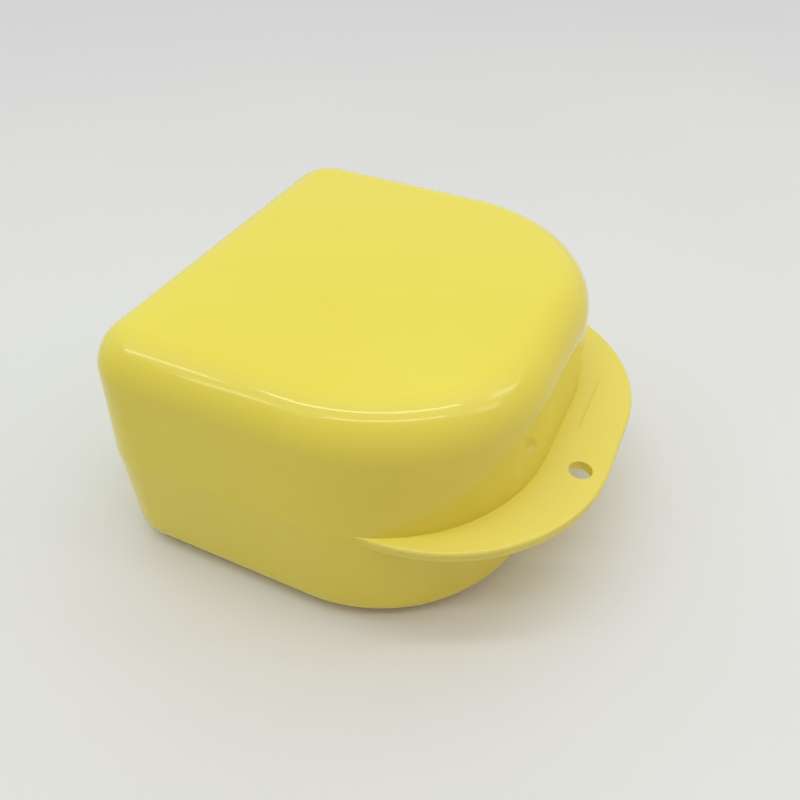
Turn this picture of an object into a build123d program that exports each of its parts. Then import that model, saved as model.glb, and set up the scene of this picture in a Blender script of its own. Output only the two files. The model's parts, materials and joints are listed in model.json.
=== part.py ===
"""A moulded clamshell case for a denture: a base and a lid that snap together at the back.

Millimetres, +Z up, the lips at the front (-Y) and the hinge at the back (+Y). The origin is on
the table, in the middle of the closed case's length and width.
"""

import os

from build123d import *

# ---- Plan of the two halves, where they meet ----
body_width = 80.0  # across the two straight sides
body_depth = 73.2  # from the flat front to the flat back
back_corner = 10.3
front_corner = 31.5

# ---- Heights and walls ----
case_height = 45.8
base_height = 22.6  # from the table to the rim of the base
rim_gap = 0.1  # hairline left between the two closed rims
wall = 1.8
lid_draft = 2.75  # degrees that the lid's wall leans in on its way up
base_draft = 2.25  # degrees that the base's wall leans in on its way down
lid_shoulder = 7.5
base_shoulder = 5.4

# ---- Lips that part the halves ----
lip_reach = 10.7  # beyond the flat front
lip_corner = 31.5
lip_side_inset = 1.7  # how far the lip's sides lie inside the body's
lip_thickness = 0.95
lip_edge = 0.35  # rounding of the edge that a thumb meets
lip_root = 0.3  # fillet where the lip grows out of the wall
lip_blend = 16.0  # hollow arc where the lip runs out along the side
lip_sink = 0.1  # by which that arc ends inside the wall
cord_hole_radius = 2.0
cord_hole_offset = 9.0  # from the middle, towards -X
cord_hole_inset = 4.65  # from the lip's front edge to the middle of the hole

# ---- Tongue of the base, inside the lid's skirt ----
skirt = 0.85  # what is left of the lid's wall outside the tongue
lap_clearance = 0.15
tongue_height = 2.6
tongue_lead = 0.25  # chamfer that guides the skirt on
snap_length = 12.0
snap_radius = 0.5
snap_height = 1.4  # from the base's rim to the middle of the bead
snap_proud = 0.3  # by which the bead stands out of the tongue
snap_clearance = 0.1

# ---- Snap hinge ----
hinge_spacing = 42.0  # between the middles of the two stations
hinge_radius = 2.6
hinge_standoff = 0.4  # from a barrel to the back wall
hinge_rise = 0.3  # from the base's rim to the axis, half way up the case, so that it opens flat
hinge_foot = 8.0  # height of the foot that carries a barrel on its wall
hinge_edge = 0.3
knuckle_width = 8.0
ear_thickness = 2.2
ear_gap = 0.25  # beside each knuckle
pin_radius = 1.25
pin_clearance = 0.06
pin_tip = 0.4  # chamfer that spreads the ears on the way in
pin_recess = 0.3  # from the pin's tip to the ear's outer face
ramp_depth = 0.9  # lead-in for the pin, at the top of the ear's inner face

# ---- Gate mark in the underside ----
gate_recess_radius = 5.0
gate_recess_depth = 0.4
gate_stub_radius = 0.9
gate_stub_height = 0.25

# ---- Places that follow from the sizes ----
hinge_reach = hinge_standoff + 2 * hinge_radius
overall_depth = lip_reach + body_depth + hinge_reach
lip_front = -overall_depth / 2
front_wall = lip_front + lip_reach
back_wall = front_wall + body_depth
body_middle = (front_wall + back_wall) / 2
wall_middle = back_wall - wall / 2
cord_hole = (-cord_hole_offset, lip_front + cord_hole_inset)
lid_rim = base_height + rim_gap
lid_height = case_height - lid_rim
base_lip_level = base_height - lip_thickness
lid_lip_level = lid_rim + lip_thickness
tongue_inset = skirt + lap_clearance
snap_y = front_wall + tongue_inset - snap_proud + snap_radius
snap_z = base_height + snap_height
hinge_y = back_wall + hinge_standoff + hinge_radius
hinge_z = base_height + hinge_rise
ear_face = knuckle_width / 2 + ear_gap
ear_back = ear_face + ear_thickness
ear_bore = pin_radius + pin_clearance
ramp_top = hinge_z + hinge_radius
stations = (-hinge_spacing / 2, hinge_spacing / 2)
sides = (-1, 1)


def body_plan(inset: float, height: float) -> Sketch:
    """The D-shaped plan, drawn in by inset all round, lying at the given height."""
    with BuildSketch(Plane.XY.offset(height), mode=Mode.PRIVATE) as plan:
        with Locations((0, body_middle)):
            Rectangle(body_width - 2 * inset, body_depth - 2 * inset)
        fillet(plan.vertices().group_by(Axis.Y)[-1], back_corner - inset)
        fillet(plan.vertices().group_by(Axis.Y)[0], front_corner - inset)
    return plan.sketch


def drafted_block(inset: float, rim: float, height: float, lean: float, shoulder: float = 0) -> Part:
    """A D-shaped block whose walls lean in, away from its rim, with its far end rounded.

    The height and the lean are negative for a block that hangs below its rim.
    """
    with BuildPart(mode=Mode.PRIVATE) as block:
        extrude(body_plan(inset, rim), amount=height)
        walls = block.faces().filter_by(Axis.Z, reverse=True)
        draft(walls, neutral_plane=Plane.XY.offset(rim), angle=lean)
        if shoulder:
            far_end = block.faces().sort_by(Axis.Z)[-1 if height > 0 else 0]
            fillet(far_end.edges(), shoulder)
    return block.part


def lip_plan(height: float) -> Sketch:
    """A round-ended lip pushed out of the body's front and blended into its sides."""
    lip_width = body_width - 2 * lip_side_inset
    with BuildSketch(Plane.XY.offset(height), mode=Mode.PRIVATE) as plan:
        with Locations((0, lip_front + lip_corner)):
            SlotCenterToCenter(lip_width - 2 * lip_corner, 2 * lip_corner)
        add(body_plan(lip_sink, 0))
        run_outs = plan.vertices().group_by(Axis.Y)[1]
        fillet(run_outs, lip_blend)
    return plan.sketch


def barrel(x: float, width: float, foot: tuple[float, float], room: tuple[float, float]) -> Part:
    """A hinge barrel on the foot that carries it, with room left for the other half's wall."""
    with BuildPart(mode=Mode.PRIVATE) as piece:
        with BuildSketch(Plane.YZ.offset(x - width / 2)):
            with Locations((hinge_y, hinge_z)):
                Circle(hinge_radius)
            with Locations((wall_middle, foot[0])):
                Rectangle(wall / 4, foot[1] - foot[0], align=Align.MIN)
            make_hull()
            with Locations((wall_middle, room[0])):
                room_size = (hinge_y - wall_middle, room[1] - room[0])
                Rectangle(*room_size, align=Align.MIN, mode=Mode.SUBTRACT)
            with Locations((hinge_y, hinge_z)):
                Circle(hinge_radius)
        extrude(amount=width)
        chamfer(piece.faces().filter_by(Axis.X).edges(), hinge_edge)
    return piece.part


def hinge_pins(x: float) -> Part:
    """A round bar right through a knuckle, whose two chamfered ends are the pins."""
    with BuildPart(mode=Mode.PRIVATE) as bar:
        with Locations((x, hinge_y, hinge_z)):
            Cylinder(pin_radius, 2 * (ear_back - pin_recess), rotation=(0, 90, 0))
        chamfer(bar.edges().filter_by(GeomType.CIRCLE), pin_tip)
    return bar.part


def snap_roll(radius: float) -> Part:
    """A round-ended roll along the front: the snap bead, or the groove that takes it."""
    with BuildPart(mode=Mode.PRIVATE) as roll:
        with Locations((0, snap_y, snap_z)):
            Cylinder(radius, snap_length, rotation=(0, 90, 0))
        with Locations(*((side * snap_length / 2, snap_y, snap_z) for side in sides)):
            Sphere(radius)
    return roll.part


base_shell = drafted_block(0, base_height, -base_height, -base_draft, base_shoulder)
base_hollow = drafted_block(wall, base_height, wall - base_height, -base_draft, base_shoulder - wall)
tongue = drafted_block(tongue_inset, base_height, tongue_height, lid_draft)
snap_bead = snap_roll(snap_radius)
ear_foot = (base_height - hinge_foot, base_height)
above_base = (base_height, case_height)
ears = [
    barrel(station + side * (ear_face + ear_thickness / 2), ear_thickness, ear_foot, above_base)
    for station in stations
    for side in sides
]

lid_shell = drafted_block(0, lid_rim, lid_height, lid_draft, lid_shoulder)
lid_hollow = drafted_block(wall, lid_rim, lid_height - wall, lid_draft, lid_shoulder - wall)
skirt_step = drafted_block(skirt, lid_rim, tongue_height, lid_draft)
snap_groove = snap_roll(snap_radius + snap_clearance)
knuckle_foot = (lid_rim, lid_rim + hinge_foot)
below_lid = (0, lid_rim)
knuckles = [barrel(station, knuckle_width, knuckle_foot, below_lid) for station in stations]
pins = [hinge_pins(station) for station in stations]

with BuildPart() as base:
    # the lip, then the outside of the shell and the fillet between them
    extrude(lip_plan(base_lip_level), amount=lip_thickness)
    fillet(base.edges().group_by(Axis.Z)[0], lip_edge)
    add(base_shell)
    root = base.edges(Select.NEW).filter_by_position(Axis.Z, base_lip_level, base_lip_level)
    fillet(root, lip_root)

    # the tongue, with a chamfer round its top
    add(tongue)
    chamfer(base.edges().group_by(Axis.Z)[-1], tongue_lead)

    # the hollow, which goes straight up through the tongue, and the bead
    add(base_hollow, mode=Mode.SUBTRACT)
    extrude(body_plan(wall, base_height), amount=tongue_height, mode=Mode.SUBTRACT)
    add(snap_bead)

    # the ears, with a bore through each pair and a ramp down to it on each inner face
    add(ears)
    for station in stations:
        with Locations((station, hinge_y, hinge_z)):
            Cylinder(ear_bore, 2 * ear_back, rotation=(0, 90, 0), mode=Mode.SUBTRACT)
        for side in sides:
            face = station + side * ear_face
            ramp_face = face + side * ramp_depth
            with BuildSketch(Plane.XZ.offset(-hinge_y)):
                Polygon((face, hinge_z), (face, ramp_top), (ramp_face, ramp_top), align=None)
            extrude(amount=ear_bore, both=True, mode=Mode.SUBTRACT)

    # the hole for a cord
    with Locations((*cord_hole, base_height)):
        Hole(cord_hole_radius)

    # the gate's mark, a stub left in a round recess
    with Locations((0, body_middle, 0)):
        Cylinder(gate_recess_radius, 2 * gate_recess_depth, mode=Mode.SUBTRACT)
    with Locations((0, body_middle, gate_recess_depth)):
        Cylinder(gate_stub_radius, gate_stub_height, align=(Align.CENTER, Align.CENTER, Align.MAX))

with BuildPart() as lid:
    # the lip, then the outside of the shell and the fillet between them
    extrude(lip_plan(lid_rim), amount=lip_thickness)
    fillet(lid.edges().group_by(Axis.Z)[-1], lip_edge)
    add(lid_shell)
    root = lid.edges(Select.NEW).filter_by_position(Axis.Z, lid_lip_level, lid_lip_level)
    fillet(root, lip_root)

    # the knuckles of the hinge, each with a pin at both ends
    add(knuckles)
    add(pins)

    # the hollow, and the step behind the skirt with the snap groove in it
    add(lid_hollow, mode=Mode.SUBTRACT)
    add(skirt_step, mode=Mode.SUBTRACT)
    add(snap_groove, mode=Mode.SUBTRACT)

    # the hole for a cord
    with Locations((*cord_hole, lid_lip_level)):
        Hole(cord_hole_radius)

os.makedirs("parts", exist_ok=True)
for name, piece in {"base": base, "lid": lid}.items():
    piece.part.label = name
    export_step(piece.part, f"parts/{name}.step")
    print(f"{name}: {piece.part.volume:.0f} cubic mm in {len(piece.part.solids())} solid")
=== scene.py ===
# %% [markdown]
# # A denture case in glossy yellow plastic
# The real box is two injection mouldings: a base and a lid, snapped together at a pin hinge on
# the flat back. Both were cooled against polished steel, so every outside face is smooth and
# shiny, and what the eye reads is the shape of the reflections. That is why the two halves are
# made again here as fine surfaces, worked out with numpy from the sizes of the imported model.

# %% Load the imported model
import json
import math

import bmesh
import bpy
import numpy as np
from mathutils import Matrix, Vector


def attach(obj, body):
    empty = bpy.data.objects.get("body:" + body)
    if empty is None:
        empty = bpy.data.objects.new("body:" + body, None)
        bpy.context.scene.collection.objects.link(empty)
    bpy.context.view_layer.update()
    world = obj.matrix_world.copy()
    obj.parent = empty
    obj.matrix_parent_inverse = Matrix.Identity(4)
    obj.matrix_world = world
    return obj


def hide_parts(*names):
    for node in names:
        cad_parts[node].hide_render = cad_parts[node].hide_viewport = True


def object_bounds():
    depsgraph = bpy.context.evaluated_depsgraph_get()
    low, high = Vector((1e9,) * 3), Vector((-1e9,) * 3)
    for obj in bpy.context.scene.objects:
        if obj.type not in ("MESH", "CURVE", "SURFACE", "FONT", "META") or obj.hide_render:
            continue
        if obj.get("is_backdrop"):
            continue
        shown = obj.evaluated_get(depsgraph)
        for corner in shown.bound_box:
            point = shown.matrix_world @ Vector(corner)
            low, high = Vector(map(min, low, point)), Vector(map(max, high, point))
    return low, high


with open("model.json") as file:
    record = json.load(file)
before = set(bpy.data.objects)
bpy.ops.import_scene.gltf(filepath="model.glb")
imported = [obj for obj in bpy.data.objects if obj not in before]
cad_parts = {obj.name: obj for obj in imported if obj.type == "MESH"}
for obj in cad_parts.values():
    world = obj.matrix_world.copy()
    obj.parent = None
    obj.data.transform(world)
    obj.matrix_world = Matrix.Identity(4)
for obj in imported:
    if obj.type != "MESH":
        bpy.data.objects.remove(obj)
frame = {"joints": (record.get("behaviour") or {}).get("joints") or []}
cad_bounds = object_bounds()
MM = 0.001  # metres in a millimetre: sizes below are in millimetres

# %% [markdown]
# ## Sizes
# The outer sizes and the hinge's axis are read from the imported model, so that the surfaces can't
# drift away from it. The rest are the mould's own sizes: walls, corners and roundings.

# %% Sizes of the case
low, high = (np.array(corner) / MM for corner in cad_bounds)
half_width, case_height, lip_front = high[0], high[2], low[1]
_, hinge_y, hinge_z = np.array(frame["joints"][0]["pos_m"]) / MM

wall = 1.8
back_corner = 10.3
front_corner = 31.5
lip_reach = 10.7
hinge_standoff = 0.4
barrel_radius = 2.6
hinge_rise = 0.3
rim_gap = 0.1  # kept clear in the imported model, for the motion
seam = 0.005  # what is left of it once the rims are pressed together

base_rim = hinge_z - hinge_rise
lid_rim = base_rim + rim_gap
front_wall = lip_front + lip_reach
back_wall = hinge_y - barrel_radius - hinge_standoff
middle = np.array([0, (front_wall + back_wall) / 2])
print(f"body {2 * half_width:.1f} x {back_wall - front_wall:.1f} mm, rims at {base_rim:.1f} mm")

# %% [markdown]
# ## The D-shaped outline
# Seen from above, the box is a rectangle with small corners at the back and big ones at the
# front. Every ring of the mouldings is this outline, moved in or out by one distance all the way
# round, so one set of points with their outward normals is enough: a ring is
# point + distance * normal. A spline would wobble between its points. Straight runs joined by
# true quarter circles give the clean reflections of a machined mould.

# %% The outline and its normals
front_steps, side_steps, back_steps = 20, 10, 14
front_corner_steps, back_corner_steps = 64, 32


def straight(start, end, normal, steps):
    """Points evenly spaced from start up to, but not including, end, with their one normal."""
    share = np.arange(steps)[:, None] / steps
    points = np.array(start) * (1 - share) + np.array(end) * share
    return points, np.tile(normal, (steps, 1)).astype(float)


def quarter(centre, radius, first_angle, steps):
    """Points on a quarter circle, centre + radius * (cos a, sin a), and their normals."""
    a = first_angle + np.arange(steps) * math.pi / 2 / steps
    normals = np.stack([np.cos(a), np.sin(a)], 1)
    return np.array(centre) + radius * normals, normals


def d_outline():
    """The D, counterclockwise from the middle of the front: points and outward normals."""
    x_front, x_back = half_width - front_corner, half_width - back_corner
    y_front, y_back = front_wall + front_corner, back_wall - back_corner
    pieces = [
        straight((0, front_wall), (x_front, front_wall), (0, -1), front_steps),
        quarter((x_front, y_front), front_corner, -math.pi / 2, front_corner_steps),
        straight((half_width, y_front), (half_width, y_back), (1, 0), side_steps),
        quarter((x_back, y_back), back_corner, 0, back_corner_steps),
        straight((x_back, back_wall), (-x_back, back_wall), (0, 1), back_steps),
        quarter((-x_back, y_back), back_corner, math.pi / 2, back_corner_steps),
        straight((-half_width, y_back), (-half_width, y_front), (-1, 0), side_steps),
        quarter((-x_front, y_front), front_corner, math.pi, front_corner_steps),
        straight((-x_front, front_wall), (0, front_wall), (0, -1), front_steps),
    ]
    points, normals = zip(*pieces)
    return np.concatenate(points), np.concatenate(normals)


outline, outward = d_outline()
on_front = (outward[:, 1] == -1) & (np.abs(outline[:, 0]) < half_width - front_corner)
print("points round the outline:", len(outline))

# %% [markdown]
# ## How far the lip stands out
# The thumb lip is a round-ended tab that grows out of the front and runs out along the sides in
# a hollow arc. Its edge is three simple curves: a straight front, a circle at each end, and a
# smaller circle that touches both that one and the body. Along each outward normal the edge is
# where a ray meets one of them, which a square root gives, so the whole lip is one number for
# each point of the outline.

# %% The lip's edge along each normal
lip_corner = 31.5
lip_side_inset = 1.7
lip_blend = 16.0
lip_sink = 0.1


def ray_to_circle(centre, radius, side):
    """Distance along each normal to a circle: b + side * sqrt(b^2 - c^2 + radius^2), where b is
    how far along the ray the centre lies, and c how far it is from the ray's start."""
    offset = centre - outline
    b = (offset * outward).sum(1)
    return b + side * np.sqrt(np.maximum(b**2 - (offset**2).sum(1) + radius**2, 0))


def meeting_point(first, first_radius, second, second_radius):
    """Where two circles cross, on the right of the line from the first centre to the second."""
    gap = np.linalg.norm(second - first)
    along = (second - first) / gap
    share = (gap**2 + first_radius**2 - second_radius**2) / (2 * gap)
    right = np.array([along[1], -along[0]])
    return first + share * along + math.sqrt(first_radius**2 - share**2) * right


def lip_distance():
    """Distance from the rim to the lip's edge along each normal, less than nothing where there
    is no lip, and the cosine of the angle between that normal and the edge's own."""
    end = np.array([half_width - lip_side_inset - lip_corner, lip_front + lip_corner])
    corner = np.array([half_width - front_corner, front_wall + front_corner])
    body_radius = front_corner - lip_sink
    blend = meeting_point(end, lip_corner + lip_blend, corner, body_radius + lip_blend)
    touch = end + lip_corner * (blend - end) / (lip_corner + lip_blend)
    first, last = (math.atan2(y, x) for x, y in (touch - corner, blend - corner))
    angle = np.arctan2(outward[:, 1], np.abs(outward[:, 0]))
    side = np.where(outline[:, :1] < 0, [[-1, 1]], [[1, 1]])

    at_front = on_front & (np.abs(outline[:, 0]) <= end[0])
    at_blend = (angle > first) & (angle < last)
    reach = np.where(at_blend, ray_to_circle(blend * side, lip_blend, -1), -lip_sink)
    reach = np.where(angle <= first, ray_to_circle(end * side, lip_corner, 1), reach)
    reach = np.where(at_front, lip_reach, reach)

    edge = outline + reach[:, None] * outward
    from_end = ((edge - end * side) * outward).sum(1) / lip_corner
    to_blend = ((blend * side - edge) * outward).sum(1) / lip_blend
    slant = np.where(at_blend, to_blend, np.where(angle <= first, from_end, 1))
    return reach, np.where(at_front, 1, slant)


lip_out, lip_slant = lip_distance()
print(f"lip stands out {lip_out.max():.2f} mm at most, slant {lip_slant.min():.2f} at least")

# %% [markdown]
# ## Profile rows
# A half could be built as the mould is, by cutting a smaller block out of a bigger one. One
# closed surface shades better. So the wall's profile, pairs of (distance out of the outline,
# height from the rim), is carried once round the D: over the outside, round the lip, under the
# rim, and back up the inside. Where there is no lip its rows fall together, and merging the
# doubles there closes the surface. Two mouldings never match quite, so the base stands out past
# the lid by a hair. That thin ledge catches light, and keeps the parting line from looking black.

# %% Rows of the outside
lid_lean, base_lean = math.radians(2.75), math.radians(2.25)
lid_shoulder, base_shoulder = 7.5, 5.4
lip_thickness = 0.95
lid_lip_edge, base_lip_edge = 0.6, 0.35
lip_root = 0.15
rim_edge = 0.02
lid_set_in = 0.03
shoulder_steps, wall_steps, lip_steps, edge_steps = 26, 8, 10, 8
rim_side_steps, rim_edge_steps = 2, 3


def rows(distance, height):
    """Distances and heights as one array (2, rows, points round the outline)."""
    both = np.broadcast_arrays(distance, height, np.zeros((1, len(outline))))
    return np.stack(both[:2]).astype(float)


def spread(start, end, steps):
    """Rows evenly spaced from just past start to end, for numbers or for whole rings."""
    share = np.arange(1, steps + 1)[:, None] / steps
    return start * (1 - share) + end * share


def shoulder_rows(inset, depth, lean, radius):
    """An arc from the flat end to the leaning wall: centre + radius * (cos a, sin a), with a
    from 90 degrees down to the lean."""
    centre_height = depth - radius
    centre = -inset - centre_height * math.tan(lean) - radius / math.cos(lean)
    a = np.linspace(math.pi / 2, lean, shoulder_steps + 1)[:, None]
    return rows(centre + radius * np.cos(a), centre_height + radius * np.sin(a))


def outside_rows(depth, lean, shoulder, lip_edge, rim):
    """Shoulder, wall, the root fillet, the lip's face and its rounded edge, and the rim's own
    small rounding, down to the rim's level. Each row lies on the leaning wall or on the lip,
    whichever is further out."""
    slope = math.tan(lean)
    grown = (lip_out + lip_thickness * slope) / (lip_root + lip_edge)
    root, edge = np.clip(grown, 0, 1) * lip_root, np.clip(grown, 0, 1) * lip_edge
    a = spread(0, math.pi / 2, edge_steps)

    arc = shoulder_rows(0, depth, lean, shoulder)
    foot = lip_thickness + root
    height = spread(arc[1, -1], foot, wall_steps)
    face = rows(-height * slope, height)
    fillet = rows(root * (1 - np.cos(a)) - foot * slope, foot - root * np.sin(a))
    reach = np.maximum(lip_out - edge / lip_slant, fillet[0, -1])
    lip = rows(spread(fillet[0, -1], reach, lip_steps), lip_thickness)
    height = lip_thickness - edge * (1 - np.cos(a))
    out = lip_out - edge / lip_slant * (1 - np.sin(a))
    rounding = rows(np.maximum(out, -height * slope), height)
    height = spread(rounding[1, -1], rim + rim_edge, rim_side_steps)
    side = rows(np.maximum(lip_out, -height * slope), height)
    b = spread(0, math.pi / 2, rim_edge_steps)
    corner = rows(side[0, -1] - rim_edge * (1 - np.cos(b)), rim + rim_edge * (1 - np.sin(b)))
    return np.concatenate([arc, face, fillet, lip, rounding, side, corner], 1)


lid_depth, base_depth = case_height - lid_rim, base_rim
lid_outside = outside_rows(lid_depth, lid_lean, lid_shoulder, lid_lip_edge, seam - rim_gap)
lid_outside[0] -= lid_set_in
base_outside = outside_rows(base_depth, base_lean, base_shoulder, base_lip_edge, 0)
print("rows outside:", lid_outside.shape[1], "and", base_outside.shape[1])

# %% [markdown]
# ## Inside the rims
# The base carries a thin tongue that the lid's skirt closes over. A bead on the front of the
# tongue snaps into a groove in the skirt. Both are lying round-ended rolls, so each is made by
# pushing the rows out to the roll wherever it stands further out than the wall.

# %% Rows of the inside
skirt = 0.85
lap_clearance = 0.15
tongue_inset = skirt + lap_clearance
tongue_height = 2.6
tongue_lead = 0.25
snap_length = 12.0
snap_radius = 0.5
snap_height = 1.4
snap_proud = 0.3
snap_clearance = 0.1
snap_inset = tongue_inset - snap_proud + snap_radius
snap_steps = 26
under_steps, ledge_steps, tongue_back_steps = 3, 2, 4


def pushed_out(distance, height, roll_height, radius):
    """The wall, or a round-ended roll where that is further out: its middle plus
    sqrt(radius^2 - dz^2 - dx^2), with dx measured past the roll's straight length."""
    dx = np.maximum(np.abs(outline[:, 0]) - snap_length / 2, 0)
    square = radius**2 - (height - roll_height) ** 2 - dx**2
    roll = np.sqrt(np.maximum(square, 0)) - snap_inset
    return np.where(on_front & (square > 0), np.maximum(distance, roll), distance)


def inner_rows(start, depth, lean, shoulder):
    """The inner wall from start to the inner shoulder, and that shoulder to the flat end."""
    arc = shoulder_rows(wall, depth - wall, lean, shoulder - wall)[:, ::-1]
    height = spread(start, arc[1, 0], wall_steps)[:-1]
    return np.concatenate([rows(-wall - height * math.tan(lean), height), arc], 1)


def lid_inside_rows():
    """Under the rim, up behind the skirt past the snap groove, and on up the inner wall."""
    slope = math.tan(lid_lean)
    lowest = seam - rim_gap
    under = rows(spread(lid_outside[0, -1], -skirt, under_steps), lowest)
    height = spread(lowest, tongue_height, snap_steps)
    groove_height, groove_radius = snap_height - rim_gap, snap_radius + snap_clearance
    step_wall = pushed_out(-skirt - height * slope, height, groove_height, groove_radius)
    inset = tongue_height * slope
    ledge = spread(-skirt - inset, -wall - inset, ledge_steps)
    inner = inner_rows(tongue_height, lid_depth, lid_lean, lid_shoulder)
    return np.concatenate([under, rows(step_wall, height), rows(ledge, tongue_height), inner], 1)


def base_inside_rows():
    """Over the rim, up the tongue past the snap bead, and down its back and the inner wall."""
    slope = math.tan(lid_lean)
    over = rows(spread(base_outside[0, -1], -tongue_inset, under_steps), 0)
    height = spread(0, tongue_height - tongue_lead, snap_steps)
    tongue_wall = pushed_out(-tongue_inset - height * slope, height, snap_height, snap_radius)
    top = -tongue_inset - tongue_height * slope - tongue_lead
    tongue = rows(tongue_wall, -height)
    crest = rows(np.array([[top], [-wall]]), -tongue_height)
    back = rows(-wall, spread(-tongue_height, 0, tongue_back_steps))
    inner = inner_rows(0, base_depth, base_lean, base_shoulder)
    return np.concatenate([over, tongue, crest, back, inner], 1)


lid_rows = np.concatenate([lid_outside, lid_inside_rows()], 1)
base_rows = np.concatenate([base_outside, base_inside_rows()], 1)
print("rows in all:", lid_rows.shape[1], "and", base_rows.shape[1])

# %% [markdown]
# ## From rings to a mesh
# Rings stacked in order become quads between neighbours. The ends close with a fan to one
# point each, or, for a shape with a bore, the last ring joins the first. The signed volume says
# whether the faces point outwards: if it is negative, every face is turned round.

# %% Mesh helpers
merge_below = 0.004  # points nearer than this are one point


def closed_piece(name, rings, poles=None):
    """A closed mesh through rings (rows, points, 3), in millimetres, as a new object."""
    count, around = rings.shape[:2]
    index = np.arange(count * around).reshape(count, around)
    if poles is None:
        index = np.concatenate([index, index[:1]])
    beside = np.roll(index, -1, 1)
    quads = np.stack([index[:-1], index[1:], beside[1:], beside[:-1]], -1).reshape(-1, 4)
    faces, points = quads.tolist(), rings.reshape(-1, 3)
    if poles is not None:
        first, last = len(points), len(points) + 1
        faces += [[first, a, b] for a, b in zip(index[0].tolist(), beside[0].tolist())]
        faces += [[last, b, a] for a, b in zip(index[-1].tolist(), beside[-1].tolist())]
        points = np.concatenate([points, np.array(poles, float)])
    mesh = bpy.data.meshes.new(name)
    mesh.from_pydata((points * MM).tolist(), [], faces)
    piece = bpy.data.objects.new(name, mesh)
    bpy.context.scene.collection.objects.link(piece)
    solid = bmesh.new()
    solid.from_mesh(mesh)
    bmesh.ops.remove_doubles(solid, verts=solid.verts, dist=merge_below * MM)
    if solid.calc_volume(signed=True) < 0:
        bmesh.ops.reverse_faces(solid, faces=solid.faces)
    loose = sum(not edge.is_manifold for edge in solid.edges)
    volume = solid.calc_volume() / MM**3
    solid.to_mesh(mesh)
    solid.free()
    print(f"{name}: {len(mesh.polygons)} faces, {volume:.0f} cubic mm, {loose} open edges")
    return piece


def cut_away(piece, cutter):
    """Subtracts the cutter from the piece for good, and removes the cutter."""
    cut = piece.modifiers.new("cut", "BOOLEAN")
    cut.operation, cut.solver, cut.object = "DIFFERENCE", "EXACT", cutter
    graph = bpy.context.evaluated_depsgraph_get()
    piece.data = bpy.data.meshes.new_from_object(piece.evaluated_get(graph))
    piece.modifiers.clear()
    bpy.data.objects.remove(cutter)


# %% [markdown]
# ## The two halves
# The profile rows become rings at their real heights. The flat ends shrink towards the middle of
# the box, which costs nothing, because they are flat. Under the base the last rings turn from
# the D into a small round recess with the stub that the plastic's gate leaves.

# %% The lid and the base
gate_recess_radius = 5.0
gate_recess_depth = 0.4
gate_stub_radius = 0.9
gate_stub_height = 0.25
shrink_shares = (0.15, 0.4, 0.7, 0.92)
recess_shares = (0.8, 0.5, 0.2)


def at_heights(profile, rim, direction):
    """Rings from profile rows: outline + distance * normal, at rim + direction * height."""
    distance, height = profile
    plan = outline + distance[..., None] * outward
    return np.concatenate([plan, (rim + direction * height)[..., None]], -1)


def shrunk(ring, target, shares):
    """Copies of a flat ring, moved towards the target ring by each share of the way."""
    return np.stack([ring * (1 - share) + target * share for share in shares])


def circle_ring(radius, height):
    """A circle round the middle of the box, whose points face those of the outline."""
    angle = np.arctan2(*(outline - middle).T[::-1])
    plan = middle + radius * np.stack([np.cos(angle), np.sin(angle)], 1)
    return np.column_stack([plan, np.full(len(plan), height)])


def lid_shell():
    """The whole lid but its hinge: flat top, outside, lip, skirt and inside."""
    rings = at_heights(lid_rows, lid_rim, 1)
    top, ceiling = np.array([*middle, case_height]), np.array([*middle, case_height - wall])
    outer = shrunk(rings[0], top, shrink_shares[::-1])
    inner = shrunk(rings[-1], ceiling, shrink_shares)
    return closed_piece("lid_shell", np.concatenate([outer, rings, inner]), (top, ceiling))


def base_shell():
    """The whole base but its hinge: gate mark, flat bottom, outside, lip, tongue and inside."""
    rings = at_heights(base_rows, base_rim, -1)
    stub, floor = gate_recess_depth - gate_stub_height, np.array([*middle, wall])
    mark = [
        circle_ring(gate_stub_radius, stub),
        circle_ring(gate_stub_radius, gate_recess_depth),
        circle_ring(gate_recess_radius, gate_recess_depth),
        circle_ring(gate_recess_radius, 0),
    ]
    outer = shrunk(rings[0], mark[-1], recess_shares)
    inner = shrunk(rings[-1], floor, shrink_shares)
    all_rings = np.concatenate([mark, outer, rings, inner])
    return closed_piece("base_shell", all_rings, ((*middle, stub), floor))


lid = lid_shell()
base = base_shell()

# %% [markdown]
# ## The cord hole
# A hole right through both lips takes a cord. A punched hole has crisp edges, but a moulded one
# is rounded by polishing, so the cutter is a lathe profile that flares where it meets the lips'
# outer faces.

# %% Cut the cord hole
cord_hole = np.array([-9.0, lip_front + 4.65])
cord_hole_radius = 2.0
cord_hole_round = 0.2
around_steps = 72


def turned(name, centre, profile):
    """A turned solid on an upright axis: rings of (radius, height) round the centre."""
    a = np.arange(around_steps) * 2 * math.pi / around_steps
    circle = np.stack([np.cos(a), np.sin(a)], 1)
    rings = [np.column_stack([centre + r * circle, np.full(around_steps, h)]) for r, h in profile]
    poles = [(*centre, profile[0][1]), (*centre, profile[-1][1])]
    return closed_piece(name, np.stack(rings), poles)


def hole_cutter(rim, direction):
    """A pin through one lip, with a flare of quarter-circle section at the lip's outer face."""
    face, start = rim + direction * lip_thickness, rim - direction * lip_thickness
    a = np.linspace(0, math.pi / 2, edge_steps + 1)
    flare_radius = cord_hole_radius + cord_hole_round * (1 - np.cos(a))
    flare_height = face - direction * cord_hole_round * (1 - np.sin(a))
    profile = [(cord_hole_radius, start), *zip(flare_radius, flare_height)]
    profile.append((flare_radius[-1], face + direction * cord_hole_round))
    return turned("cutter", cord_hole, profile)


cut_away(lid, hole_cutter(lid_rim, 1))
cut_away(base, hole_cutter(base_rim, -1))

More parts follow.
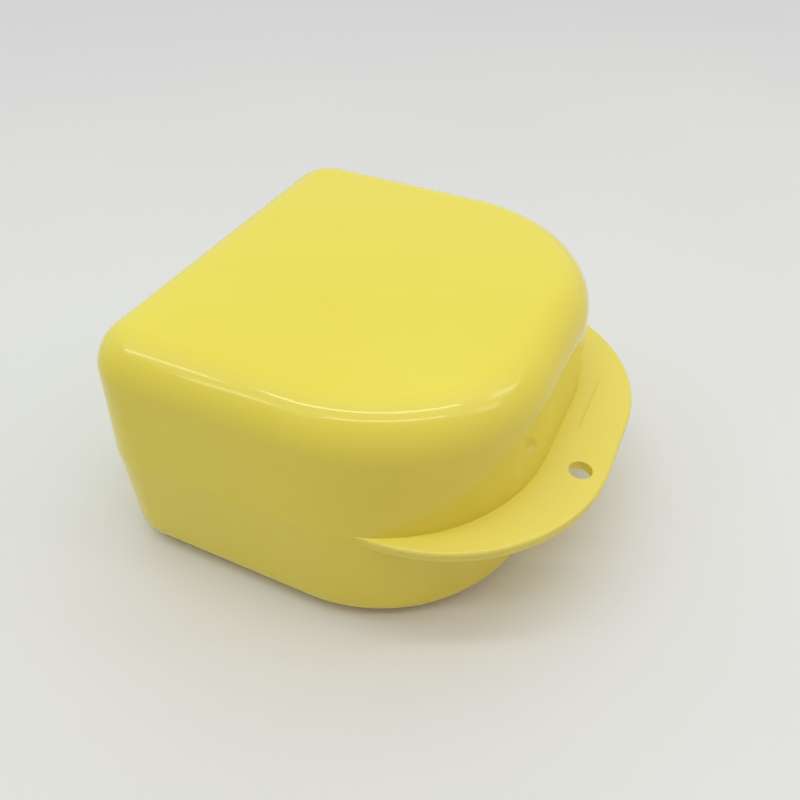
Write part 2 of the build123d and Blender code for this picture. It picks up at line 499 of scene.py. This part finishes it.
# %% [markdown]
# ## The snap hinge
# Two knuckles on the lid carry round pins, and each sits between two ears of the base. Seen
# along the pins, a knuckle or an ear is a circle with a foot that leans back to the wall. That
# outline is carried along the pin's axis, with the edges rounded as moulded ones are. The ends
# close with a pin on a knuckle and with a bore through an ear.

# %% Knuckles and ears
hinge_spacing = 42.0
hinge_foot = 8.0
hinge_edge = 0.3
knuckle_width = 8.0
ear_thickness = 2.2
ear_gap = 0.25
pin_radius = 1.25
pin_clearance = 0.06
pin_tip = 0.4
pin_recess = 0.3
ramp_depth = 0.9
foot_depth = 0.9  # how far a foot reaches into the wall, out of sight
foot_sink = 0.05  # how far an ear's foot lies below the base's rim, clear of the lid
barrel_steps = 96
ear_face = knuckle_width / 2 + ear_gap
ear_back = ear_face + ear_thickness


def footed_circle(rim, direction):
    """The section of a knuckle or ear, (y, z) from the pin's axis: a circle, r cos a and r sin a,
    from where it crosses the rim's level to where its tangent leaves for the foot's far corner,
    and then the foot. Also returned are the angles that lead once round a bore or a pin."""
    back, near = back_wall - foot_depth - hinge_y, rim - hinge_z
    far = near + direction * hinge_foot
    start = -direction * math.pi - math.asin(near / barrel_radius)
    end = math.atan2(far, back) - direction * math.acos(barrel_radius / math.hypot(back, far))
    a = np.linspace(start, end, barrel_steps + 1)
    circle = barrel_radius * np.stack([np.cos(a), np.sin(a)], 1)
    foot = [(circle[-1] + (back, far)) / 2, (back, far), (back, near)]
    behind = np.linspace(end, start + direction * 2 * math.pi, len(foot) + 2)[1:-1]
    return np.concatenate([circle, foot]), np.concatenate([a, behind])


def across(x, section):
    """A ring from a section (y, z) measured from the pin's axis, at one x or at one x a point."""
    return np.column_stack([np.full(len(section), x), section + [hinge_y, hinge_z]])


def circle_across(x, radius, angles):
    """A circle round the pin's axis, as a ring at x."""
    return across(x, radius * np.stack([np.cos(angles), np.sin(angles)], 1))


def barrel(x_low, x_high, section):
    """Rings from face to face, with both edges rounded by quarter circles."""
    a = np.linspace(0, math.pi / 2, edge_steps + 1)
    inset, along = hinge_edge * (1 - np.sin(a)), hinge_edge * (1 - np.cos(a))
    reach = np.linalg.norm(section, axis=1, keepdims=True)
    smaller = [section * (1 - i / reach) for i in inset]
    left = [across(x_low + s, ring) for s, ring in zip(along, smaller)]
    right = [across(x_high - s, ring) for s, ring in zip(along, smaller)]
    return left + right[::-1]


def knuckle(name, x):
    """A knuckle of the lid with the pins that stand out of its ends."""
    section, angles = footed_circle(lid_rim, 1)
    tip, side = ear_back - pin_recess, knuckle_width / 2
    pin = [(tip, pin_radius - pin_tip), (tip - pin_tip, pin_radius), (side, pin_radius)]
    left = [circle_across(x - along, radius, angles) for along, radius in pin]
    right = [circle_across(x + along, radius, angles) for along, radius in pin[::-1]]
    rings = left + barrel(x - side, x + side, section) + right
    poles = [(x - tip, hinge_y, hinge_z), (x + tip, hinge_y, hinge_z)]
    return closed_piece(name, np.stack(rings), poles)


def ear(name, x, side):
    """An ear of the base with its bore, and the ramp that lets a pin in from above."""
    section, angles = footed_circle(base_rim - foot_sink, -1)
    bore = pin_radius + pin_clearance
    low, high = sorted((x + side * ear_face, x + side * ear_back))
    ends = [circle_across(face, bore, angles) for face in (low, high)]
    piece = closed_piece(name, np.stack([ends[0], *barrel(low, high, section), ends[1]]))
    face, out, up = x + side * ear_face, side * ramp_depth, 2 * barrel_radius
    ramp = np.array([(face, 0), (face + 2 * out, up), (face - out, up), (face - out, 0)])
    sides = [np.column_stack([np.full(len(ramp), y), ramp[:, 1]]) for y in (-bore, bore)]
    walls = [across(ramp[:, 0], section) for section in sides]
    cut_away(piece, closed_piece("cutter", np.stack(walls), [ring.mean(0) for ring in walls]))
    return piece


knuckles, ears = [], []
for place, x in (("left", -hinge_spacing / 2), ("right", hinge_spacing / 2)):
    knuckles.append(knuckle(f"knuckle_{place}", x))
    ears.append(ear(f"ear_{place}_outer", x, math.copysign(1, x)))
    ears.append(ear(f"ear_{place}_inner", x, -math.copysign(1, x)))

# %% [markdown]
# ## Which half each piece moves with
# The imported model has one solid for each half, in flat triangles, which mirror badly. The
# smooth shells stand for those solids, and every piece rides on the half it is moulded on, so
# that the lid takes its knuckles and pins along when it opens.

# %% Ride and replace
pieces = [lid, base, *knuckles, *ears]
for piece in (lid, *knuckles):
    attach(piece, "lid")
for piece in (base, *ears):
    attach(piece, "base")
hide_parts("lid")
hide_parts("base")
print("pieces:", ", ".join(piece.name for piece in pieces))

# %% [markdown]
# ## Smooth faces, crisp edges
# Polished plastic shows every dent in a mesh as a kink in its reflections. Edges that turn by
# more than the limit stay sharp, as the parting lines do, and the rest is smooth. A Weighted
# Normal modifier then lets big flat faces keep their true normal right up to a rounding.

# %% Shade the pieces
sharp_angle = math.radians(28)
flat_face_weight = 80

for piece in pieces:
    piece.data.shade_smooth()
    piece.data.set_sharp_from_angle(angle=sharp_angle)
    weighted = piece.modifiers.new("flat faces first", "WEIGHTED_NORMAL")
    weighted.keep_sharp = True
    weighted.weight = flat_face_weight
print("sharp edges in the lid:", sum(edge.use_edge_sharp for edge in lid.data.edges))

# %% [markdown]
# ## Nodes that every finish uses
# The input of a node takes either a plain value or the output of another node. One small function
# sorts that out, and the others are built on it, so that each line of a material further down says
# what it does and not how it is wired.

# %% Node helpers
def new_material(name):
    """A new material, its node tree, and the Principled shader that the tree starts with."""
    material = bpy.data.materials.new(name)
    material.use_nodes = True
    tree = material.node_tree
    return material, tree, tree.nodes["Principled BSDF"]


def feed(tree, socket, value):
    """Links the output of another node to a socket, or sets the socket to a plain value."""
    if isinstance(value, bpy.types.NodeSocket):
        tree.links.new(value, socket)
    else:
        socket.default_value = value


def maths(tree, operation, *values):
    """A Math node, whose inputs are outputs of other nodes or plain numbers."""
    node = tree.nodes.new("ShaderNodeMath")
    node.operation = operation
    for socket, value in zip(node.inputs, values):
        feed(tree, socket, value)
    return node.outputs["Value"]


def mixed(tree, share, first, second):
    """A colour between two, each a plain colour or the output of another node."""
    mix = tree.nodes.new("ShaderNodeMix")
    mix.data_type = "RGBA"
    for name, value in (("Factor", share), ("A", first), ("B", second)):
        feed(tree, mix.inputs[name], value)
    return mix.outputs["Result"]


def ramped(tree, value, start, end, low_value=0, high_value=1):
    """A number that goes from low to high as the value goes from start to end."""
    scale = tree.nodes.new("ShaderNodeMapRange")
    feed(tree, scale.inputs["Value"], value)
    limits = {"From Min": start, "From Max": end, "To Min": low_value, "To Max": high_value}
    for name, limit in limits.items():
        scale.inputs[name].default_value = limit
    return scale.outputs["Result"]


# %% [markdown]
# ## Patterns
# A finish is a few patterns laid over each other: a noise of some size, squeezed between two
# values, or a mark inside a box. Each is a short function that adds its nodes to a material and
# returns the output to go on with. Image textures would do too, but they blur when the camera
# comes close, and these don't.

# %% Patterns
noise_low, noise_high = 0.3, 0.7  # most of a noise lies between these


def noise(tree, size, detail=2.0, stretch=(1, 1, 1)):
    """A noise whose lumps are about size millimetres across, on Object coordinates."""
    place = tree.nodes.new("ShaderNodeTexCoord")
    mapping = tree.nodes.new("ShaderNodeMapping")
    mapping.inputs["Scale"].default_value = stretch
    texture = tree.nodes.new("ShaderNodeTexNoise")
    texture.inputs["Scale"].default_value = 1 / (size * MM)
    texture.inputs["Detail"].default_value = detail
    tree.links.new(place.outputs["Object"], mapping.inputs["Vector"])
    tree.links.new(mapping.outputs["Vector"], texture.inputs["Vector"])
    return texture.outputs["Fac"]


def between(tree, pattern, low_value, high_value):
    """A noise stretched so that it uses the whole way from the low value to the high one."""
    return ramped(tree, pattern, noise_low, noise_high, low_value, high_value)


def bump(tree, height, depth, under=None):
    """A Bump node of a depth in millimetres over an earlier one. Less than nothing presses in."""
    node = tree.nodes.new("ShaderNodeBump")
    node.invert = depth < 0
    node.inputs["Strength"].default_value = 1
    node.inputs["Distance"].default_value = abs(depth) * MM
    tree.links.new(height, node.inputs["Height"])
    if under:
        tree.links.new(under, node.inputs["Normal"])
    return node.outputs["Normal"]


def inside(tree, box_middle, flat, fade):
    """One inside a box and nothing outside: for each axis a ramp that falls from one to nothing
    as the distance from the middle goes from flat to flat + fade, and the three multiplied."""
    place = tree.nodes.new("ShaderNodeTexCoord")
    split = tree.nodes.new("ShaderNodeSeparateXYZ")
    tree.links.new(place.outputs["Object"], split.inputs["Vector"])
    ramps = []
    for axis, centre, near, far in zip("XYZ", box_middle, flat, np.add(flat, fade)):
        offset = maths(tree, "SUBTRACT", split.outputs[axis], centre * MM)
        distance = maths(tree, "ABSOLUTE", offset)
        ramps.append(ramped(tree, distance, far * MM, near * MM))
    in_plan = maths(tree, "MULTIPLY", ramps[0], ramps[1])
    return maths(tree, "MULTIPLY", in_plan, ramps[2])


# %% [markdown]
# ## Painted light through the lips
# Light comes through the lips, which are half as thick as the walls, and makes them paler. That
# light is painted into their colour as a paler yellow. A box can't pick them out, because they
# follow the curve of the front. So every point of the two halves is told how far it lies outside
# the D, and the plastic reads that as an attribute.

# %% Mark the lips
painted_through_light_from = 1.5  # the distance from the wall at which the painted paler colour is complete


def outside_the_d(plan):
    """Distance from the D to points (x, y): sqrt(max(qx, 0)^2 + max(qy, 0)^2) - radius, where qx
    and qy are how far a point lies past the middle of the nearest corner's circle."""
    radius = np.where(plan[:, 1] < middle[1], front_corner, back_corner)
    corner_x, corner_y = half_width - radius, (back_wall - front_wall) / 2 - radius
    q_x, q_y = np.abs(plan[:, 0]) - corner_x, np.abs(plan[:, 1] - middle[1]) - corner_y
    return np.hypot(np.maximum(q_x, 0), np.maximum(q_y, 0)) - radius


for piece in (lid, base):
    points = np.empty(3 * len(piece.data.vertices))
    piece.data.vertices.foreach_get("co", points)
    # how much painted light each point gets: none at the wall, all of it out on the lip
    painted_through_light = np.clip(outside_the_d(points.reshape(-1, 3)[:, :2] / MM) / painted_through_light_from, 0, 1)
    piece.data.attributes.new("painted_through_light", "FLOAT", "POINT").data.foreach_set("value", painted_through_light)
    print(piece.name, "points on its lip:", int((painted_through_light == 1).sum()))

# %% [markdown]
# ## Yellow plastic
# The plastic is coloured all through and polished by its mould, so it needs no coat and no dirt.
# A plain yellow would look like paint on a screen, though. What makes it a moulding is small:
# the colour drifts a little where the melt flowed, the gloss isn't even, and the skin has a faint
# orange peel on top of slow waves from shrinking. Each of these is a noise of its own size. On
# the lip, a faint straight line shows where two pieces of the mould met.

# %% Yellow plastic
insert_line_middle = (9.3, front_wall - 2.85, lid_rim + lip_thickness)
insert_line_flat, insert_line_fade = (7.2, 0.05, 0.1), (1.5, 0.28, 0.05)
insert_line_depth = 0.13
deep_yellow = (0.82, 0.71, 0.083, 1)
light_yellow = (0.84, 0.735, 0.097, 1)
# a paler yellow painted on the lips, for the light that comes through the thin plastic
painted_through_light_yellow = (0.83, 0.72, 0.135, 1)
mirror_strength = 0.27
flow_size, flow_stretch = 26, (1, 0.5, 1.6)
gloss_size, gloss_detail = 9, 3
sleek, dull = 0.05, 0.085
wave_size, wave_depth = 13, 0.008
peel_size, peel_depth = 0.9, 0.0003
skin_detail = 1


def yellow_plastic():
    """Glossy plastic: drifting colour, a paler yellow painted on the lips for the light that comes
    through them, uneven gloss, slow waves and a fine orange peel."""
    material, tree, shader = new_material("yellow_plastic")
    flow = between(tree, noise(tree, flow_size, stretch=flow_stretch), 0, 1)
    painted_through_light = tree.nodes.new("ShaderNodeAttribute")
    painted_through_light.attribute_name = "painted_through_light"
    colour = mixed(tree, flow, deep_yellow, light_yellow)
    # the lips are painted paler, for the light that comes through them
    colour = mixed(tree, painted_through_light.outputs["Fac"], colour, painted_through_light_yellow)
    tree.links.new(colour, shader.inputs["Base Color"])
    gloss = between(tree, noise(tree, gloss_size, gloss_detail), sleek, dull)
    tree.links.new(gloss, shader.inputs["Roughness"])
    shader.inputs["Specular IOR Level"].default_value = mirror_strength
    waves = bump(tree, noise(tree, wave_size, skin_detail), wave_depth)
    peel = bump(tree, noise(tree, peel_size, skin_detail), peel_depth, waves)
    line = inside(tree, insert_line_middle, insert_line_flat, insert_line_fade)
    tree.links.new(bump(tree, line, -insert_line_depth, peel), shader.inputs["Normal"])
    return material


plastic = yellow_plastic()
for piece in pieces:
    piece.data.materials.clear()
    piece.data.materials.append(plastic)
print("nodes in the plastic:", len(plastic.node_tree.nodes))

# %% [markdown]
# ## Floor
# The floor is a pale matt sheet, nearly grey, with a faint drift of tone. It is far wider than the
# case, so that its far edge is a straight horizon from any side.

# %% Floor
floor_size = 20000.0
floor_pale = (0.72, 0.725, 0.72, 1)
floor_paler = (0.75, 0.75, 0.735, 1)
mottle_size = 160
floor_roughness = 0.75


def pale_floor():
    """A square sheet just under the case, with a matt, faintly mottled finish."""
    half = floor_size / 2
    corners = np.array([(-half, -half, 0), (half, -half, 0), (half, half, 0), (-half, half, 0)])
    mesh = bpy.data.meshes.new("floor")
    mesh.from_pydata((corners * MM).tolist(), [], [(0, 1, 2, 3)])
    sheet = bpy.data.objects.new("floor", mesh)
    bpy.context.scene.collection.objects.link(sheet)
    material, tree, shader = new_material("pale_floor")
    mottle = between(tree, noise(tree, mottle_size), 0, 1)
    colour = mixed(tree, mottle, floor_pale, floor_paler)
    tree.links.new(colour, shader.inputs["Base Color"])
    shader.inputs["Roughness"].default_value = floor_roughness
    mesh.materials.append(material)
    return sheet


pale_floor()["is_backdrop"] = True
print(f"floor {floor_size * MM:.0f} m wide")

# %% [markdown]
# ## Camera
# The camera stands close, a little above the case, with a wide lens, which makes the near corner
# look bigger than the far one. A slight roll is left in, as a hand-held camera has.

# %% Camera
camera_place = Vector((-105.618, -49.756, 119.779)) * MM
camera_target = Vector((-5.414, -4.581, 22.922)) * MM
camera_roll = math.radians(1.116)
camera_lens = 35.096

camera_data = bpy.data.cameras.new("camera")
camera_data.lens = camera_lens
camera_data.clip_start = 1 * MM
camera = bpy.data.objects.new("camera", camera_data)
facing = (camera_target - camera_place).to_track_quat("-Z", "Y").to_matrix().to_4x4()
roll = Matrix.Rotation(camera_roll, 4, "Z")
camera.matrix_world = Matrix.Translation(camera_place) @ facing @ roll
bpy.context.scene.collection.objects.link(camera)
bpy.context.scene.camera = camera
print("camera at", [round(c / MM) for c in camera_place])

# %% [markdown]
# ## Light
# The case stands in a light tent. Two rows of small lamps run across its ceiling, each in three
# lengths, and they draw the bright lines on the rounded edges. Their places were found
# backwards: a bright line on the case, mirrored at the surface there, points at its lamp. The
# tent's cloth hangs under both ends of a row, so the lamps there look broader and softer.

# %% Lamps of the ceiling
ceiling_height = 640.0
row_width = 40.0
softness = {"a": 1.6, "b": 1, "c": 3}  # so many times wider, and as much less bright
row_level = 6.5
row_colours = {"right": (1.22, 1.34, 1.34), "left": (1.07, 1.0, 0.85)}
row_runs = {
    "right_a": ((-306, 560), (-264, 394)),
    "right_b": ((-186, 324), (115, -260)),
    "right_c": ((220, -455), (505, -760)),
    "left_a": ((-600, 560), (-426, 367)),
    "left_b": ((-349, 166), (-68, -362)),
    "left_c": ((25, -598), (220, -1005)),
}


def strip_lamp(name, start, end, width, level, colour=(1, 1, 1), height=ceiling_height):
    """A strip lamp in the ceiling from start to end, facing down. Its power in watts is
    pi * area * brightness."""
    start, end = Vector((*start, height)) * MM, Vector((*end, height)) * MM
    lamp = bpy.data.lights.new(name, "AREA")
    lamp.shape = "RECTANGLE"
    lamp.size, lamp.size_y = (end - start).length, width * MM
    lamp.energy = math.pi * lamp.size * lamp.size_y * level
    lamp.color = colour
    holder = bpy.data.objects.new(name, lamp)
    turn = math.atan2(end.y - start.y, end.x - start.x)
    holder.matrix_world = Matrix.Translation((start + end) / 2) @ Matrix.Rotation(turn, 4, "Z")
    bpy.context.scene.collection.objects.link(holder)
    print(f"{name}: {lamp.energy:.2f} W")
    return holder


for name, (start, end) in row_runs.items():
    side, part = name.split("_")
    wider = softness[part]
    strip_lamp(name, start, end, row_width * wider, row_level / wider, row_colours[side])

# %% [markdown]
# ## The cloth between the lamps
# Round its lamps the cloth glows, and the rounded edges mirror that as a pale band on which the
# bright lines lie. A glow that fades could be painted on a plane. Here four plain lamps add up
# to it, each wider than the one below. They hang a little apart, because lamps in one plane would
# hide each other. Only what mirrors sees them, since the light that the cloth sheds on everything
# is already in the tent's own colours, in the next step.

# %% Glow of the ceiling cloth
along_rows, across_rows = np.array([0.458, -0.889]), np.array([0.889, 0.458])
glow_ends = (-700, 900)  # along the rows
glow_edges = ((-270, 100), (-290, 200), (-320, 320), (-370, 450))  # across them, lamp by lamp
glow_level = 0.36
glow_apart = 5.0

for count, (near, far) in enumerate(glow_edges, 1):
    start, end = (along_rows * run + across_rows * (near + far) / 2 for run in glow_ends)
    height = ceiling_height + count * glow_apart
    glow = strip_lamp(f"cloth_{count}", start, end, far - near, glow_level, height=height)
    glow.visible_diffuse = glow.visible_camera = False

# %% [markdown]
# ## The tent around
# The tent's cloth is white above and behind the case, and its open front lets in a dimmer,
# warmer room. Five colours, one for each side and one for the top, are enough for such a
# smooth surrounding. Each is weighted by the square of the direction's part along that side, and
# these squares always add up to one. The colours only light the case. In a picture of it they
# would make a patchy background, so the camera and the gloss of the plastic see a plain one.

# %% World
tent_colours = {
    (1, 0, 0): (0.88, 1.01, 0.93),
    (-1, 0, 0): (0.08, 0.03, 0.02),
    (0, 1, 0): (0.74, 0.74, 0.54),
    (0, -1, 0): (0.37, 0.14, 0.12),
    (0, 0, 1): (0.9, 0.93, 1.02),
}
backdrop = (0.7, 0.71, 0.72, 1)


def vector_math(tree, operation, first, second):
    """A Vector Math node, whose inputs are outputs of other nodes or plain vectors."""
    node = tree.nodes.new("ShaderNodeVectorMath")
    node.operation = operation
    for socket, value in zip(node.inputs, (first, second)):
        feed(tree, socket, value)
    return node.outputs["Value"] if operation == "DOT_PRODUCT" else node.outputs["Vector"]


def tent_world():
    """The sum over the sides of colour * max(0, direction . side)^2, for light that is scattered.
    The camera, and whatever mirrors or lets through, sees a plain pale backdrop instead."""
    world = bpy.data.worlds.new("tent")
    world.use_nodes = True
    tree = world.node_tree
    direction = tree.nodes.new("ShaderNodeTexCoord").outputs["Generated"]
    total = (0, 0, 0)
    for side, colour in tent_colours.items():
        part = vector_math(tree, "DOT_PRODUCT", direction, side)
        part = vector_math(tree, "MAXIMUM", part, (0, 0, 0))
        part = vector_math(tree, "MULTIPLY", part, part)
        total = vector_math(tree, "ADD", total, vector_math(tree, "MULTIPLY", part, colour))
    path = tree.nodes.new("ShaderNodeLightPath").outputs
    seen = path["Is Camera Ray"]
    for ray in ("Is Glossy Ray", "Is Transmission Ray"):
        seen = maths(tree, "MAXIMUM", seen, path[ray])
    background = mixed(tree, seen, total, backdrop)
    tree.links.new(background, tree.nodes["Background"].inputs["Color"])
    return world


bpy.context.scene.world = tent_world()
bpy.context.scene.view_settings.view_transform = "Standard"
print("tent in", len(tent_colours), "colours")

# %% Print the sizes
boxes = {"cad": cad_bounds, "visual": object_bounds()}
for name, box in boxes.items():
    print(name, [[round(c / MM, 2) for c in corner] for corner in box])
